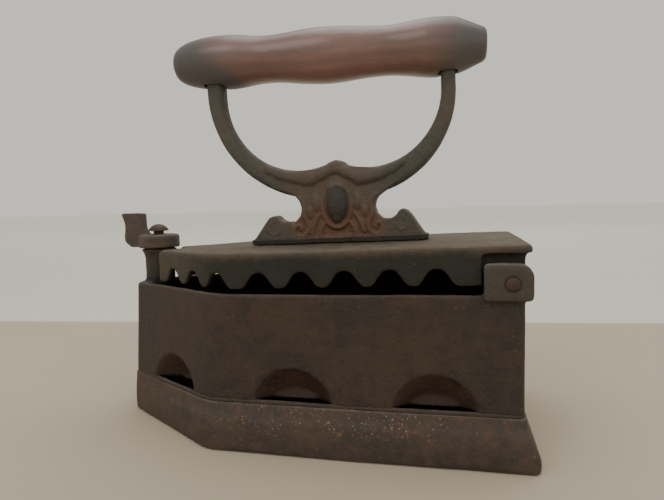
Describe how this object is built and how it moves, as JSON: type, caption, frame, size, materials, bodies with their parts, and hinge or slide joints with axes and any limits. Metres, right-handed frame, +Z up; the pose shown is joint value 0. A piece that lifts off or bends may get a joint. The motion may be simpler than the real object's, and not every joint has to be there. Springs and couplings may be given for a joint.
{
  "type": "clothes iron",
  "caption": "Charcoal clothes iron: cast box with scooped air vents on a heavy pointed sole, hinged scalloped lid, ornamental yoke with a turned wooden grip, and a swivel catch at the toe.",
  "frame": {"origin": "centre of the sole's length and width, on its flat underside", "axes": "+Z up, -X to the toe, +X to the hinge end, +Y to the far side when the toe points left"},
  "size_m": [0.2148, 0.1072, 0.1986],
  "materials": {
    "sole_iron": "rusted, worn",
    "casing_iron": "rusted, worn",
    "sooty_iron": "sooty, rough",
    "fastener_steel": "dull, tarnished",
    "catch_iron": "dusty, rusted",
    "lid_iron": "dusty top, dark skirt",
    "yoke_iron": "dark, rust in the hollows",
    "grip_wood": "polished by use, charred ends"
  },
  "bodies": {
    "base": {"sole_plate": "sole_iron", "casing": "casing_iron", "grate": "sooty_iron", "casing_screws": "fastener_steel", "hinge_pin": "fastener_steel", "catch_rivet": "fastener_steel"},
    "lid": {"lid": "lid_iron", "handle_yoke": "yoke_iron", "yoke_bolts": "fastener_steel", "yoke_washers": "fastener_steel", "grip": "grip_wood", "grip_screws": "fastener_steel"},
    "catch": {"catch": "catch_iron"}
  },
  "joints": [
    {"name": "lid_hinge", "type": "hinge", "parent": "base", "child": "lid", "pos_m": [0.0919, 0, 0.0767], "axis": [0, 1, 0], "range_deg": [0, 110]},
    {"name": "catch_turn", "type": "hinge", "parent": "base", "child": "catch", "pos_m": [-0.0902, 0, 0.092], "axis": [0, 0, 1], "range_deg": [-105, 0]}
  ]
}
